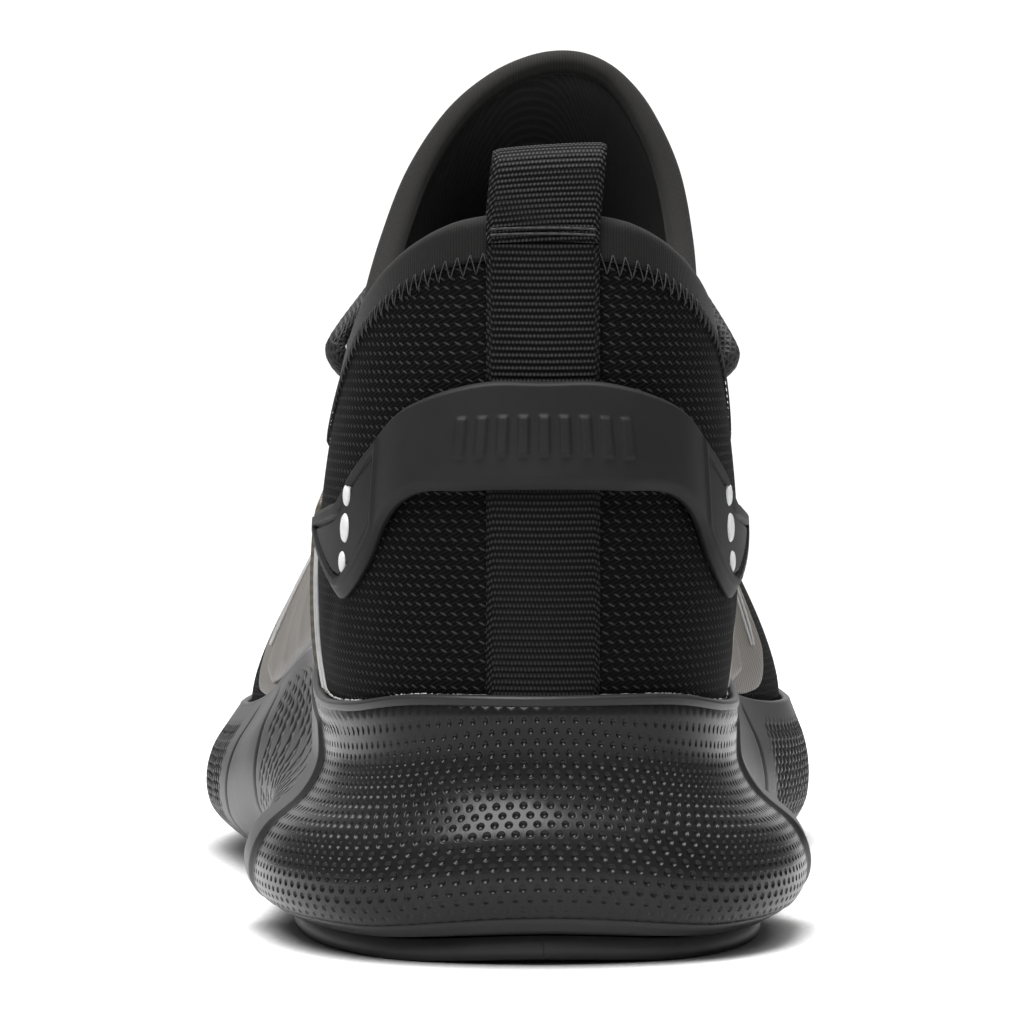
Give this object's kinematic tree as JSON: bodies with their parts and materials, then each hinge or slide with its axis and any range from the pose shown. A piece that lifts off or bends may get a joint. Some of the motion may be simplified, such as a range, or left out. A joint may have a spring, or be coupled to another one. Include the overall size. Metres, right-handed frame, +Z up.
{
  "type": "safety sneaker",
  "caption": "Low-cut knit safety sneaker for the left foot, with a flared dimpled sole, a moulded heel strap, a raised tongue, lacing and a pull loop.",
  "frame": {"origin": "on the floor, under the middle of the heel's tread", "axes": "+Z up, +Y from the heel to the toe, +X to the inner side of the foot"},
  "size_m": [0.1167, 0.3001, 0.147],
  "materials": {
    "sole_rubber": "satin moulded rubber, black",
    "tread_rubber": "matt rubber, black",
    "knit": "open knitted mesh, black",
    "lining": "lining fabric, black",
    "webbing": "ribbed webbing, black",
    "lace": "woven round lace, black",
    "strap_rubber": "matt moulded rubber, charcoal",
    "panel_film": "satin film over fabric, warm dark grey"
  },
  "bodies": {
    "root": {"midsole": "sole_rubber", "outsole": "tread_rubber", "insole": "lining", "upper": "knit", "tongue": "knit", "eyestay": "panel_film", "heel_tape": "webbing", "pull_loop": "webbing", "heel_strap": "strap_rubber", "side_panel_inner": "panel_film", "side_panel_outer": "panel_film", "lace_loop_inner_1": "webbing", "lace_loop_outer_1": "webbing", "lace_loop_inner_2": "webbing", "lace_loop_outer_2": "webbing", "lace_loop_inner_3": "webbing", "lace_loop_outer_3": "webbing", "lace_loop_inner_4": "webbing", "lace_loop_outer_4": "webbing", "lace_loop_inner_5": "webbing", "lace_loop_outer_5": "webbing", "lace_cross_1": "lace", "lace_cross_2": "lace", "lace_cross_3": "lace", "lace_cross_4": "lace", "lace_bar_bottom": "lace", "lace_bar_top": "lace"}
  },
  "joints": []
}
